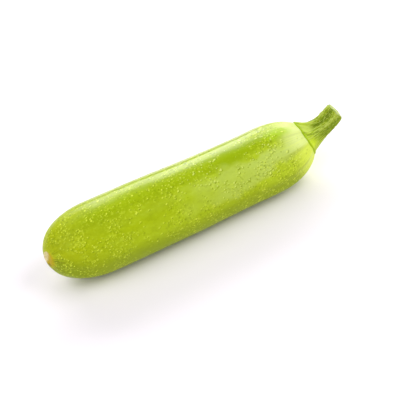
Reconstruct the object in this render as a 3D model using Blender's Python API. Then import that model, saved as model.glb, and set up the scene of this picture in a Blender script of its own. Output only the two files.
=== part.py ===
"""A light green zucchini with a short cut stem, lying on its side on a flat surface.

Metres, +Z up. The fruit runs along +X from its blossom end to its stem, the surface that it lies on is z = 0,
and the origin is the middle of the whole object's footprint. Two objects are made: the fruit, whose blossom
scar is part of it, and the ribbed stem, whose flared foot follows the fruit's shoulder. Both start as a UV
sphere, and each ring of that sphere is laid where a formula puts it.
"""

import math

import bmesh
import bpy
from mathutils import Matrix, Vector

# Fruit, driving dimensions
FRUIT_LENGTH = 0.196
BLOSSOM_DIAMETER = 0.050
SHOULDER_DIAMETER = 0.0458
BLOSSOM_CAP = 0.039
SHOULDER_CAP = 0.034
BLOSSOM_ROUNDNESS = 0.94

# Fruit, its two poles: each sits off the axis, an angle round its cap towards one side of the section
SCAR_SLIDE = math.radians(11.6)
SCAR_SIDE = math.radians(137)
STEM_SLIDE = math.radians(9.5)
STEM_SIDE = math.radians(90)

# Fruit, cross section: blunt ribs as a share of the local radius
RIB_COUNT = 10
MAIN_RIB_COUNT = 5
RIB_AT_BLOSSOM = 0.012
RIB_AT_MIDDLE = 0.006
RIB_AT_SHOULDER = 0.024
MAIN_RIB = 0.006
LUMP = 0.004
DOWN = math.radians(-90)
FIRST_CREST = math.radians(144)

# Fruit, how it lies: the belly sinks a little into the surface and has a flat strip there, and both ends rise
BELLY_PRESS = 0.0006
BELLY_CURVE_RADIUS = 4.5
BELLY_LOW_POINT = 0.48 * FRUIT_LENGTH
BELLY_HALF_ANGLE = math.radians(13.5)
BELLY_HALF_WIDTH = 0.0058
RISE_BEYOND_BELLY = 0.015
SIDE_BOW = 0.0010

# Blossom scar
SCAR_RADIUS = 0.0044
SCAR_DEPTH = 0.0009
SCAR_LIP = 0.0004

# Stem, driving dimensions
STEM_LENGTH = 0.0228
STEM_FOOT_RADIUS = 0.0131
STEM_NECK_RADIUS = 0.0063
STEM_CUT_RADIUS = 0.0062
STEM_NECK_SHARE = 0.36
STEM_BEND = math.radians(24)
STEM_TWIST = math.radians(16)
STEM_RIB_AT_FOOT = 0.07
STEM_RIB_AT_NECK = 0.15
STEM_RIB_AT_CUT = 0.10
STEM_CREST_SHARPNESS = 1.25
FOOT_THICKNESS = 0.0011
FOOT_RIM_SHARE = 0.97
FLARE_REACH = 1.15
FLARE_LIFT = 0.0012
CUT_SLANT = math.radians(3)
CUT_RIM = 0.0009
CUT_RIM_SHARE = 0.9
CUT_HOLLOW = 0.0007
HOLLOW_SHARE = 0.6
HOLLOW_START = 0.7

# Clearance between the stem's foot and the fruit
GAP = 0.0003

# Mesh density
FRUIT_SEGMENTS = 80
CAP_STEPS = 12
BARREL_STEPS = 13
SCAR_STEPS = 3
STEM_SEGMENTS = 60
UNDERSIDE_STEPS = 6
FLARE_STEPS = 6
SHAFT_STEPS = 8
BEND_STEPS = 48
NORMAL_STEP = 0.01
SMOOTH_BELOW = math.radians(42)

# Colours as the eye sees them, 0 to 255
SKIN_COLOUR = (174, 194, 44)
SCAR_COLOUR = (205, 178, 120)
STEM_COLOUR = (122, 146, 34)
CUT_COLOUR = (176, 196, 96)


def mix(start, end, share):
    return start + (end - start) * share


def smooth(share):
    """Eases from 0 to 1, level at both ends, and stays there outside them."""
    share = min(max(share, 0.0), 1.0)
    return share * share * (3 - 2 * share)


def barrel_x(step):
    """Place along the fruit of one of the barrel's rings, from the blossom end at step 0 to the shoulder."""
    return mix(BLOSSOM_CAP, FRUIT_LENGTH - SHOULDER_CAP, step / BARREL_STEPS)


def barrel_share(x):
    """How far x lies along the barrel, between the two rounded ends."""
    return (x - BLOSSOM_CAP) / (FRUIT_LENGTH - BLOSSOM_CAP - SHOULDER_CAP)


def body_radius(x):
    """Radius of the barrel at x, which slims from the blossom end to the shoulder."""
    return mix(BLOSSOM_DIAMETER, SHOULDER_DIAMETER, smooth(barrel_share(x))) / 2


def rib_depth(x):
    """Depth of the ribs at x: shallow in the middle, deeper towards both ends."""
    share = x / FRUIT_LENGTH
    blossom = mix(RIB_AT_BLOSSOM, RIB_AT_MIDDLE, smooth(share / 0.4))
    return mix(blossom, RIB_AT_SHOULDER, smooth((share - 0.55) / 0.45))


def rib_factor(x, angle):
    """Share of the plain radius that the ribbed section has at this angle, with a trough facing down."""
    from_down = angle - DOWN
    ribs = -rib_depth(x) * math.cos(RIB_COUNT * from_down)
    main_ribs = MAIN_RIB * math.cos(MAIN_RIB_COUNT * (angle - FIRST_CREST))
    lumps = math.sin(2 * angle + 31 * x) + 0.7 * math.sin(3 * angle - 53 * x + 1.0)
    return 1 + ribs + main_ribs + LUMP * lumps


def axis_point(x):
    """The fruit's centreline: the belly is level where it rests, and the middle bows a little to one side."""
    rise = (x - BELLY_LOW_POINT) ** 2 / (2 * BELLY_CURVE_RADIUS)
    height = body_radius(x) * rib_factor(x, DOWN) - BELLY_PRESS + rise
    return Vector((x, -SIDE_BOW * (1 - (2 * x / FRUIT_LENGTH - 1) ** 2), height))


def lying(x, y, z):
    """A point of the fruit, y and z from its centreline, lifted where it would pass the surface below."""
    point = axis_point(x) + Vector((0, y, z))
    start, end = barrel_x(1), barrel_x(BARREL_STEPS - 1)
    beyond = max(start - x, x - end, abs(point.y) - BELLY_HALF_WIDTH, 0.0)
    point.z = max(point.z, RISE_BEYOND_BELLY * beyond)
    return point


def barrel_point(x, angle):
    """A point of the barrel's ribbed section at x, or of the flat strip below it, whose sides are straight."""
    across = (angle - DOWN) / BELLY_HALF_ANGLE
    if abs(across) < 1.01:
        return Vector((x, BELLY_HALF_WIDTH * across, 0))
    radius = body_radius(x) * rib_factor(x, angle)
    return lying(x, radius * math.cos(angle), radius * math.sin(angle))


def sideways(side):
    """The axis of a turn that takes +X towards this side of the section."""
    return Vector((0, -math.sin(side), math.cos(side)))


def cap_point(height, spread, slide, side):
    """A point of a cap of radius 1 whose pole is at height 1.

    Its rings slide towards one side, each one less than the one above it, and close round the pole there.
    """
    return Matrix.Rotation(slide * min(height, 1.0) ** 2, 3, sideways(side)) @ Vector((height, *spread))


def blossom_ring(slope, angle):
    """A point of the blossom end. The slope runs from 0 at the pole to a quarter turn at the barrel."""
    share = math.sin(slope) ** BLOSSOM_ROUNDNESS
    from_scar = share * BLOSSOM_DIAMETER / 2 / SCAR_RADIUS
    if from_scar < 1:
        relief = mix(SCAR_DEPTH, -SCAR_LIP, from_scar**3)
    else:
        relief = -SCAR_LIP * max(0.0, 3 - 2 * from_scar)
    height = math.cos(slope) ** BLOSSOM_ROUNDNESS
    x = BLOSSOM_CAP * (1 - height)
    ribbed = share * rib_factor(x, angle)
    spread = (ribbed * math.cos(angle), ribbed * math.sin(angle))
    point = cap_point(height - relief / BLOSSOM_CAP, spread, SCAR_SLIDE, SCAR_SIDE)
    return lying(BLOSSOM_CAP * (1 - point.x), *(point.yz * BLOSSOM_DIAMETER / 2))


def shoulder_ring(share, angle):
    """A point of the shoulder, on the ring that is this share of the barrel's radius wide."""
    height = math.sqrt(max(0.0, 1 - share**2))
    ribbed = share * rib_factor(FRUIT_LENGTH - SHOULDER_CAP * (1 - height), angle)
    spread = (ribbed * math.cos(angle), ribbed * math.sin(angle))
    point = cap_point(height, spread, STEM_SLIDE, STEM_SIDE)
    return lying(FRUIT_LENGTH - SHOULDER_CAP * (1 - point.x), *(point.yz * SHOULDER_DIAMETER / 2))


def shoulder_point(radius, angle, lift):
    """A point above the shoulder, out along the skin's own normal by lift."""
    share = radius / (SHOULDER_DIAMETER / 2)
    here = shoulder_ring(share, angle)
    if share < NORMAL_STEP:
        return here + stem_start() @ Vector((lift, 0, 0))
    across = shoulder_ring(share, angle + NORMAL_STEP) - shoulder_ring(share, angle - NORMAL_STEP)
    outward = shoulder_ring(share + NORMAL_STEP, angle) - shoulder_ring(share - NORMAL_STEP, angle)
    return here + across.cross(outward).normalized() * -lift


def stem_start():
    """The turn from +X to the direction in which the stem leaves the skin."""
    leaning = math.atan(math.tan(STEM_SLIDE) * SHOULDER_CAP / (SHOULDER_DIAMETER / 2))
    return Matrix.Rotation(leaning, 3, sideways(STEM_SIDE))


def stem_crest(angle):
    """1 on a crest of the stem and -1 in the middle of a trough."""
    wave = abs(math.sin(MAIN_RIB_COUNT * (angle - FIRST_CREST) / 2))
    return 1 - 2 * wave**STEM_CREST_SHARPNESS


def stem_frame(share):
    """Centre and turn of the stem's section at this share of its length."""
    centre = shoulder_ring(0.0, 0.0)
    turn = stem_start()
    for step in range(round(share * BEND_STEPS)):
        done = (step + 0.5) / BEND_STEPS
        turn = Matrix.Rotation(STEM_BEND * done, 3, sideways(STEM_SIDE)) @ stem_start()
        centre = centre + turn @ Vector((STEM_LENGTH / BEND_STEPS, 0, 0))
    return centre, turn


def stem_point(share, angle, inset=1.0, forward=0.0):
    """A point of the stem's section: inset scales it, and forward moves it along the stem."""
    centre, turn = stem_frame(share)
    after_neck = (share - STEM_NECK_SHARE) / (1 - STEM_NECK_SHARE)
    radius = mix(STEM_NECK_RADIUS, STEM_CUT_RADIUS, smooth(after_neck))
    ribs = 1 + mix(STEM_RIB_AT_NECK, STEM_RIB_AT_CUT, after_neck) * stem_crest(angle)
    turned = angle + STEM_TWIST * share
    spread = radius * ribs * inset
    slant = math.tan(CUT_SLANT) * spread * math.sin(turned) * smooth(2 * after_neck - 1)
    local = Vector((forward + slant, spread * math.cos(turned), spread * math.sin(turned)))
    return centre + turn @ local


def foot_radius(angle):
    """Radius of the stem's foot, which reaches further out along each crest."""
    return STEM_FOOT_RADIUS * (1 + STEM_RIB_AT_FOOT * stem_crest(angle))


def flare_point(share, angle):
    """A point of the flare, which leaves the foot's edge along the fruit and ends up along the stem."""
    edge = shoulder_point(foot_radius(angle) * FOOT_RIM_SHARE, angle, GAP + FOOT_THICKNESS)
    neck = stem_point(STEM_NECK_SHARE, angle)
    reach = STEM_NECK_RADIUS * FLARE_REACH * (1 + STEM_RIB_AT_NECK * stem_crest(angle))
    corner = shoulder_point(reach, angle, FLARE_LIFT)
    return edge * (1 - share) ** 2 + corner * 2 * share * (1 - share) + neck * share**2


def fruit_rings():
    """The fruit's rings from its blossom tip to the pole under the stem."""
    scar_slope = math.asin(SCAR_RADIUS / (BLOSSOM_DIAMETER / 2))
    slopes = [scar_slope * step / SCAR_STEPS for step in range(SCAR_STEPS + 1)]
    slopes += [mix(scar_slope, math.pi / 2, step / CAP_STEPS) for step in range(1, CAP_STEPS + 1)]
    rings = [lambda angle, slope=slope: blossom_ring(slope, angle) for slope in slopes]
    for step in range(1, BARREL_STEPS):
        rings.append(lambda angle, x=barrel_x(step): barrel_point(x, angle))
    for step in range(CAP_STEPS, -1, -1):
        share = math.sin(math.pi / 2 * step / CAP_STEPS)
        rings.append(lambda angle, share=share: shoulder_ring(share, angle))
    return rings


def stem_rings():
    """The stem's rings from the middle of its underside, round the foot's edge, up the stem to the cut."""
    rings = [
        lambda angle, share=share: shoulder_point(foot_radius(angle) * share, angle, GAP)
        for share in (step / UNDERSIDE_STEPS for step in range(UNDERSIDE_STEPS + 1))
    ]
    for step in range(FLARE_STEPS):
        rings.append(lambda angle, share=step / FLARE_STEPS: flare_point(share, angle))
    for step in range(SHAFT_STEPS):
        share = mix(STEM_NECK_SHARE, 1 - CUT_RIM / STEM_LENGTH, step / (SHAFT_STEPS - 1))
        rings.append(lambda angle, share=share: stem_point(share, angle))
    rings.append(lambda angle: stem_point(1, angle, CUT_RIM_SHARE))
    rings.append(lambda angle: stem_point(1, angle, HOLLOW_SHARE, -CUT_HOLLOW * HOLLOW_START))
    rings.append(lambda angle: stem_point(1, angle, 0.0, -CUT_HOLLOW))
    return rings


def shaped_ball(name, segments, rings):
    """A UV sphere with one ring of points for each entry of rings, which gives the place of its points.

    The first and last entries are the poles. The sphere's +Z pole is the last one and becomes the +X end, so
    its faces keep pointing outwards.
    """
    ball = bmesh.new()
    bmesh.ops.create_uvsphere(ball, u_segments=segments, v_segments=len(rings) - 1, radius=1.0)
    for point in ball.verts:
        polar = point.co.angle(Vector((0, 0, -1)))
        angle = math.atan2(point.co.y, point.co.x)
        point.co = rings[round(polar / math.pi * (len(rings) - 1))](angle)
    mesh = bpy.data.meshes.new(name)
    ball.to_mesh(mesh)
    ball.free()
    mesh.shade_smooth()
    mesh.set_sharp_from_angle(angle=SMOOTH_BELOW)
    return bpy.data.objects.new(name, mesh)


def linear(colour):
    """The colour as Blender's materials take it."""
    return [*((channel / 255) ** 2.2 for channel in colour), 1.0]


def add_material(part, name, colour, roughness):
    material = bpy.data.materials.new(name)
    material.use_nodes = True
    shader = material.node_tree.nodes["Principled BSDF"]
    shader.inputs["Base Color"].default_value = linear(colour)
    shader.inputs["Roughness"].default_value = roughness
    shader.inputs["Metallic"].default_value = 0.0
    part.data.materials.append(material)


def paint_faces(part, material_index, chosen):
    """Gives the faces whose centre is chosen the part's other material."""
    for face in part.data.polygons:
        if chosen(face.center):
            face.material_index = material_index


def make_fruit():
    fruit = shaped_ball("fruit", FRUIT_SEGMENTS, fruit_rings())
    add_material(fruit, "skin", SKIN_COLOUR, 0.32)
    add_material(fruit, "blossom_scar", SCAR_COLOUR, 0.8)
    tip = blossom_ring(0.0, 0.0)
    paint_faces(fruit, 1, lambda centre: (centre - tip).length < SCAR_RADIUS)
    return fruit


def make_stem():
    stem = shaped_ball("stem", STEM_SEGMENTS, stem_rings())
    add_material(stem, "stem_skin", STEM_COLOUR, 0.6)
    add_material(stem, "cut_end", CUT_COLOUR, 0.5)
    centre, _ = stem_frame(1.0)
    paint_faces(stem, 1, lambda point: (point - centre).length < STEM_CUT_RADIUS * 0.8)
    return stem


def footprint_middle(parts):
    """The middle of the box round the parts, on the surface that they lie on."""
    corners = [Vector(corner) for part in parts for corner in part.bound_box]
    low = [min(corner[axis] for corner in corners) for axis in range(2)]
    high = [max(corner[axis] for corner in corners) for axis in range(2)]
    return Vector(((low[0] + high[0]) / 2, (low[1] + high[1]) / 2, 0))


def main():
    for old in list(bpy.data.objects):
        bpy.data.objects.remove(old, do_unlink=True)
    collection = bpy.data.collections.new("zucchini")
    bpy.context.scene.collection.children.link(collection)
    place = bpy.data.objects.new("zucchini_place", None)
    collection.objects.link(place)
    parts = [make_fruit(), make_stem()]
    for part in parts:
        collection.objects.link(part)
        part.parent = place
    bpy.context.view_layer.update()
    place.location = -footprint_middle(parts)


if __name__ == "__main__":
    main()
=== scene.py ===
"""A light green zucchini with its cut stem, lying on a pale floor in soft studio light.

Metres, +Z up. The fruit runs along +X from its blossom end to its stem and lies on z = 0. The fruit is a UV
sphere and the stem an extruded disc: both are shaped ring by ring in edit mode, then subdivided and finished
with displacement. The corky blossom scar, the cut across the stem and the stem's fine hairs are pieces of
their own.
"""

from __future__ import annotations

import logging
import math
import random
from collections.abc import Callable
from dataclasses import dataclass
from enum import Enum
from functools import cached_property

import bmesh
import bpy
from mathutils import Matrix, Vector

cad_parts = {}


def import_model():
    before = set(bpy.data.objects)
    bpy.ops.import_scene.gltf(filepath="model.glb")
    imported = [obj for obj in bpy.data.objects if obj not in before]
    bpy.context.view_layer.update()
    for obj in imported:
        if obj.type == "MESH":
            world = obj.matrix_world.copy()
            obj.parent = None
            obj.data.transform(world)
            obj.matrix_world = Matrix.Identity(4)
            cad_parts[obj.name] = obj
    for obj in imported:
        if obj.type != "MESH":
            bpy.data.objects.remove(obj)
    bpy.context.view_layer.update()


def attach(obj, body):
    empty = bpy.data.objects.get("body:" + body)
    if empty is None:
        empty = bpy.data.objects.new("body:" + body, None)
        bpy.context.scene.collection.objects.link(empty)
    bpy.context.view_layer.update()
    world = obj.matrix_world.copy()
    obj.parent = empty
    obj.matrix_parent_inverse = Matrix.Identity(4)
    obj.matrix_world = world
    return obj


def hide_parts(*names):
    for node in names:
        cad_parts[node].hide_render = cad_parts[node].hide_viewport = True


log = logging.getLogger("zucchini")

# The blossom end of the fruit's centreline, from the middle of the whole footprint
BLOSSOM_END = Vector((-0.10920, 0.00058, 0.0))
BODY = "root"
COLUMNS = 60
PHASES = 12
FIRST_CREST = math.radians(144)
# Directions across a piece, sideways and up: its near flank and the scar's bruised edge
FLANK = (-0.9, -0.25)
BRUISED = (-0.3, -0.95)
STATIONS_PER_METRE = 1e5
NO_WIDTH = 1e-9
NO_TURN = 1e-7


def blend(start: float, end: float, share: float) -> float:
    """Returns the value that lies at this share of the way from start to end."""
    return start + (end - start) * share


def ease(share: float) -> float:
    """Returns a share that starts and ends level, held between 0 and 1."""
    share = min(max(share, 0.0), 1.0)
    return share * share * (3 - 2 * share)


def paint(red: int, green: int, blue: int) -> tuple[float, float, float, float]:
    """Turns a colour as the eye sees it, 0 to 255, into the linear colour of a shader.

    Args:
        red, green, blue: the colour's three parts.

    Returns:
        The linear colour with full alpha.
    """
    parts = [part / 255 for part in (red, green, blue)]
    return tuple(p / 12.92 if p <= 0.04045 else ((p + 0.055) / 1.055) ** 2.4 for p in parts) + (1.0,)


class Axis(Enum):
    """The axes that an edit-mode turn can go round."""

    ALONG = "X"
    SIDEWAYS = "Y"
    UPRIGHT = "Z"


@dataclass
class Ring:
    """One cross section of a fruit or stem.

    Attributes:
        centre: its middle, in the shared frame.
        radii: its radius at each phase of a lobe, from the crest to the trough.
        rise: how far its axis is turned from +X towards +Z.
        swing: how far its axis is turned from +X towards +Y.
        twist: its turn about its own axis.
        along: its share of the way along the piece.
    """

    centre: Vector
    radii: list[float]
    rise: float = 0.0
    swing: float = 0.0
    twist: float = 0.0
    along: float = 0.0


def lobe_phase(column: int) -> int:
    """Returns how many columns lie between this column and the crest nearest to it."""
    phase = (column - round(FIRST_CREST / (2 * math.pi / COLUMNS))) % PHASES
    return min(phase, PHASES - phase)


class RingForm:
    """A closed mesh of rings of points round +X, shaped in edit mode one ring at a time."""

    def __init__(self, name: str) -> None:
        """Takes the active object, a mesh whose rings lie square to +X, into edit mode.

        Args:
            name: the piece's name.
        """
        self.form = bpy.context.object
        self.form.name = self.form.data.name = name
        bpy.ops.object.transform_apply(location=False, rotation=True, scale=False)
        bpy.ops.object.mode_set(mode="EDIT")
        bpy.ops.mesh.select_mode(type="VERT")
        self.rings: list[dict[int, int]] = []

    def points(self) -> bmesh.types.BMVertSeq:
        """Returns the points of the mesh in edit mode."""
        points = bmesh.from_edit_mesh(self.form.data).verts
        points.ensure_lookup_table()
        return points

    def sort_rings(self) -> None:
        """Notes which point lies in which ring and column. Poles are rings of one point."""
        stations: dict[int, dict[int, int]] = {}
        for point in self.points():
            column = round(math.atan2(point.co.z, point.co.y) / (2 * math.pi / COLUMNS)) % COLUMNS
            stations.setdefault(round(point.co.x * STATIONS_PER_METRE), {})[column] = point.index
        self.rings = [stations[key] for key in sorted(stations)]

    def select(self, ring: int, phase: int | None = None) -> None:
        """Selects a ring, or only its columns at one phase of the lobes.

        Args:
            ring: the ring's number from the -X end.
            phase: the phase, or None for the whole ring.
        """
        bpy.ops.mesh.select_all(action="DESELECT")
        points = self.points()
        for column, index in self.rings[ring].items():
            points[index].select = phase is None or lobe_phase(column) == phase

    def turn(self, axis: Axis, angle: float, centre: Vector) -> None:
        """Turns the selected points about an axis through centre.

        Args:
            axis: the axis.
            angle: the right-handed angle; with no window the operator turns the other way.
            centre: a point on the axis.
        """
        if abs(angle) > NO_TURN:
            bpy.ops.transform.rotate(value=-angle, orient_axis=axis.value, center_override=centre)

    def shape(self, plan: list[Ring]) -> None:
        """Gives every ring its radii, twist, tilt and place, and notes where each point has grown.

        Args:
            plan: the rings from the -X end, one for each ring of the mesh.
        """
        self.sort_rings()
        if len(plan) != len(self.rings):
            raise ValueError(f"{self.form.name} has {len(self.rings)} rings and a plan of {len(plan)}")
        for number, ring in enumerate(plan):
            first = self.points()[next(iter(self.rings[number].values()))].co.copy()
            middle = Vector((first.x, 0, 0))
            now = math.hypot(first.y, first.z)
            if now > NO_WIDTH:
                for phase, radius in enumerate(ring.radii):
                    self.select(number, phase)
                    grow = radius / now
                    bpy.ops.transform.resize(value=(1, grow, grow), center_override=middle)
            self.select(number)
            self.turn(Axis.ALONG, ring.twist, middle)
            self.turn(Axis.SIDEWAYS, -ring.rise, middle)
            self.turn(Axis.UPRIGHT, ring.swing, middle)
            bpy.ops.transform.translate(value=ring.centre - middle)
        bpy.ops.object.mode_set(mode="OBJECT")
        self.note_growth(plan)

    def note_growth(self, plan: list[Ring]) -> None:
        """Writes where each point would be on a straight, round piece, for patterns that follow its growth.

        Args:
            plan: the rings of the mesh.
        """
        attributes = self.form.data.attributes
        attributes.new("grown", "FLOAT_VECTOR", "POINT")
        attributes.new("crest", "FLOAT", "POINT")
        grown, crest = attributes["grown"], attributes["crest"]
        for ring, columns in zip(plan, self.rings):
            for column, index in columns.items():
                angle = column * 2 * math.pi / COLUMNS
                grown.data[index].vector = (ring.along, math.cos(angle), math.sin(angle))
                crest.data[index].value = math.cos(math.pi * lobe_phase(column) / (PHASES / 2))


def start_clean() -> None:
    """Leaves edit mode and deselects everything."""
    if bpy.context.object and bpy.context.object.mode != "OBJECT":
        bpy.ops.object.mode_set(mode="OBJECT")
    bpy.ops.object.select_all(action="DESELECT")


def make_active(piece: bpy.types.Object) -> None:
    """Selects one piece alone and makes it the active one.

    Args:
        piece: the piece.
    """
    start_clean()
    piece.select_set(True)
    bpy.context.view_layer.objects.active = piece


def apply_modifier(piece: bpy.types.Object, kind: str, **settings: object) -> None:
    """Adds a modifier to a piece and applies it.

    Args:
        piece: the piece.
        kind: the modifier's type.
        settings: the modifier's own settings.
    """
    make_active(piece)
    modifier = piece.modifiers.new(kind.title(), kind)
    for name, value in settings.items():
        setattr(modifier, name, value)
    bpy.ops.object.modifier_apply(modifier=modifier.name)


def subdivide(piece: bpy.types.Object, levels: int) -> None:
    """Rounds a piece with a Subdivision Surface of this many levels."""
    apply_modifier(piece, "SUBSURF", levels=levels, render_levels=levels)


def roughen(piece: bpy.types.Object, size: float, height: float, group: str = "") -> None:
    """Raises and sinks a piece's surface in soft clouds.

    Args:
        piece: the piece.
        size: how wide a cloud is.
        height: the full height between the lowest and the highest.
        group: the vertex group that limits it, if any.
    """
    clouds = bpy.data.textures.new(f"{piece.name}_clouds", "CLOUDS")
    clouds.noise_scale = size
    clouds.noise_depth = 1
    apply_modifier(piece, "DISPLACE", texture=clouds, strength=height, mid_level=0.5, vertex_group=group)


def group_points(
    piece: bpy.types.Object, name: str, weight: Callable[[int, Vector], float]
) -> str:
    """Makes a vertex group whose weights come from a rule.

    Args:
        piece: the piece.
        name: the group's name.
        weight: takes a point's number and place, and returns its weight.

    Returns:
        The group's name.
    """
    group = piece.vertex_groups.new(name=name)
    for point in piece.data.vertices:
        share = weight(point.index, point.co)
        if share > 0:
            group.add([point.index], min(share, 1.0), "REPLACE")
    return name


def finish_piece(piece: bpy.types.Object, slot: str, *materials: bpy.types.Material) -> None:
    """Dresses a piece, shades it smooth and lets it ride on the body.

    Args:
        piece: the piece.
        slot: the record's material slot; not used.
        materials: its materials.
    """
    make_active(piece)
    bpy.ops.object.shade_smooth()
    piece.data.materials.clear()
    for material in materials:
        piece.data.materials.append(material)
    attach(piece, BODY)
    log.info("%s: %d faces", piece.name, len(piece.data.polygons))


# Shader maths


class Signal:
    """A socket that takes part in Python arithmetic: each operator adds a Math node."""

    def __init__(self, graph: Graph, socket: bpy.types.NodeSocket) -> None:
        """Keeps the graph and the socket."""
        self.graph = graph
        self.socket = socket

    def __add__(self, other: Signal | float) -> Signal:
        """Returns the sum."""
        return self.graph.math("ADD", self, other)

    def __sub__(self, other: Signal | float) -> Signal:
        """Returns the difference."""
        return self.graph.math("SUBTRACT", self, other)

    def __rsub__(self, other: float) -> Signal:
        """Returns the difference, with the number first."""
        return self.graph.math("SUBTRACT", other, self)

    def __mul__(self, other: Signal | float) -> Signal:
        """Returns the product."""
        return self.graph.math("MULTIPLY", self, other)

    def __truediv__(self, other: Signal | float) -> Signal:
        """Returns the quotient."""
        return self.graph.math("DIVIDE", self, other)

    __radd__ = __add__
    __rmul__ = __mul__


class Graph:
    """The node tree of one material, with a Principled BSDF at its end.

    Attributes:
        material: the material.
        colour: its colour so far, a signal or a linear colour.
    """

    def __init__(self, name: str, colour: object = None, **constants: object) -> None:
        """Starts a material.

        Args:
            name: the material's name.
            colour: the colour that the others cover.
            constants: values that are the same all over, by socket name with _ for a space.
        """
        self.material = bpy.data.materials.new(name)
        self.material.use_nodes = True
        self.tree = self.material.node_tree
        self.shader = self.tree.nodes["Principled BSDF"]
        self.shader.inputs["Metallic"].default_value = 0.0
        for socket, value in constants.items():
            self.shader.inputs[socket.replace("_", " ")].default_value = value
        self.colour = colour

    def node(self, kind: str, settings: dict | None = None, inputs: dict | None = None) -> bpy.types.Node:
        """Adds any node.

        Args:
            kind: the node's type without its ShaderNode prefix.
            settings: its own settings, set first; a list of stops for a ramp.
            inputs: values or signals by socket name or number.

        Returns:
            The node.
        """
        node = self.tree.nodes.new("ShaderNode" + kind)
        for name, value in (settings or {}).items():
            if name == "stops":
                self.set_stops(node.color_ramp, value)
            else:
                setattr(node, name, value)
        for name, value in (inputs or {}).items():
            self.feed(node.inputs[name], value)
        return node

    def feed(self, socket: bpy.types.NodeSocket, value: object) -> None:
        """Links a signal to a socket, or sets a plain value on it.

        Args:
            socket: the socket.
            value: the signal or value.
        """
        if isinstance(value, Signal):
            self.tree.links.new(value.socket, socket)
        else:
            socket.default_value = value

    @staticmethod
    def set_stops(ramp: bpy.types.ColorRamp, stops: list[tuple[float, object]]) -> None:
        """Gives a ramp its stops, each a place and a colour.

        Args:
            ramp: the ramp.
            stops: its stops, from the lowest place on.
        """
        while len(ramp.elements) < len(stops):
            ramp.elements.new(0.5)
        for element, (place, colour) in zip(ramp.elements, stops):
            element.position = place
            element.color = colour

    @cached_property
    def place(self) -> Signal:
        """The Object coordinates."""
        return Signal(self, self.node("TexCoord").outputs["Object"])

    @cached_property
    def grown(self) -> Signal:
        """Where the point would be on a straight, round piece."""
        return self.attribute("grown", "Vector")

    @cached_property
    def growth(self) -> tuple[Signal, Signal, Signal]:
        """The parts of grown: along the piece, sideways and up."""
        return self.parts(self.grown)

    def attribute(self, name: str, output: str) -> Signal:
        """Returns one of the mesh's own attributes."""
        return Signal(self, self.node("Attribute", {"attribute_name": name}).outputs[output])

    def math(self, operation: str, *values: Signal | float) -> Signal:
        """Adds a Math node and returns its result."""
        return Signal(self, self.node("Math", {"operation": operation}, dict(enumerate(values))).outputs[0])

    def vector(self, operation: str, *values: object) -> Signal:
        """Adds a Vector Math node and returns its vector, or its number for a distance."""
        node = self.node("VectorMath", {"operation": operation}, dict(enumerate(values)))
        return Signal(self, node.outputs["Value" if operation == "DISTANCE" else "Vector"])

    def parts(self, vector: Signal) -> tuple[Signal, Signal, Signal]:
        """Splits a vector into its three parts."""
        return tuple(Signal(self, part) for part in self.node("SeparateXYZ", None, {0: vector}).outputs)

    def facing(self, sideways: float, upward: float) -> Signal:
        """Returns how far round the piece a point lies in one direction."""
        _, side, up = self.growth
        return side * sideways + up * upward

    def span(self, value: Signal, low: float, high: float) -> Signal:
        """Returns 0 below low and 1 above high with a smooth step between; low may be the larger."""
        limits = {"Value": value, "From Min": low, "From Max": high, "To Min": 0.0, "To Max": 1.0}
        node = self.node("MapRange", {"interpolation_type": "SMOOTHSTEP"}, limits)
        return Signal(self, node.outputs["Result"])

    def mix(self, share: Signal | float, first: object, second: object) -> Signal:
        """Mixes two colours, each a signal or a linear colour."""
        node = self.node("Mix", {"data_type": "RGBA"}, {0: share, 6: first, 7: second})
        return Signal(self, node.outputs[2])

    def cover(self, colour: object, share: Signal | float, *windows: tuple[Signal, float, float]) -> None:
        """Lays one more colour over part of the surface.

        Args:
            colour: the colour, a signal or a linear colour.
            share: how much it covers where all windows are full.
            windows: measures, each with the value where it begins to cover and the one where it is full.
        """
        for window in windows:
            share = self.span(*window) * share
        self.colour = self.mix(share, self.colour, colour)

    def ramp(self, value: Signal, stops: list[tuple[float, object]]) -> Signal:
        """Returns the colour of a ramp at this value."""
        return Signal(self, self.node("ValToRGB", {"stops": stops}, {"Fac": value}).outputs["Color"])

    def noise(self, size: float, detail: float = 2.0, roughness: float = 0.5) -> Signal:
        """Returns soft noise between 0 and 1 in clouds of this size."""
        return self.clouds(self.place, 1 / size, detail, roughness)

    def streaks(self, stretch: tuple, detail: float = 2.0, roughness: float = 0.5) -> Signal:
        """Returns soft noise that follows the growth, with this many clouds along and across."""
        return self.clouds(self.vector("MULTIPLY", self.grown, stretch), 1.0, detail, roughness)

    def clouds(self, vector: Signal, scale: float, detail: float = 2.0, roughness: float = 0.5) -> Signal:
        """Returns soft noise between 0 and 1."""
        inputs = {"Vector": vector, "Scale": scale, "Detail": detail, "Roughness": roughness}
        return Signal(self, self.node("TexNoise", None, inputs).outputs["Fac"])

    def cells(self, vector: Signal, scale: float) -> tuple[Signal, Signal]:
        """Returns the distance to the nearest cell's middle, in cells, and that cell's random colour."""
        node = self.node("TexVoronoi", {"feature": "F1"}, {"Vector": vector, "Scale": scale})
        return Signal(self, node.outputs["Distance"]), Signal(self, node.outputs["Color"])

    def finish(
        self, roughness: Signal | float, height: Signal | None = None, strength: float = 0.0,
        relief: float = 0.0,
    ) -> bpy.types.Material:
        """Feeds the colour, the roughness and a bump to the shader.

        Args:
            roughness: the roughness.
            height: the bump's height from 0 to 1, if any.
            strength: how much of the bump shows.
            relief: how high it stands at 1.

        Returns:
            The material.
        """
        self.feed(self.shader.inputs["Base Color"], self.colour)
        self.feed(self.shader.inputs["Roughness"], roughness)
        if height is not None:
            bump = self.node("Bump", None, {"Height": height, "Strength": strength, "Distance": relief})
            self.feed(self.shader.inputs["Normal"], Signal(self, bump.outputs["Normal"]))
        return self.material


# Finishes


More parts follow.
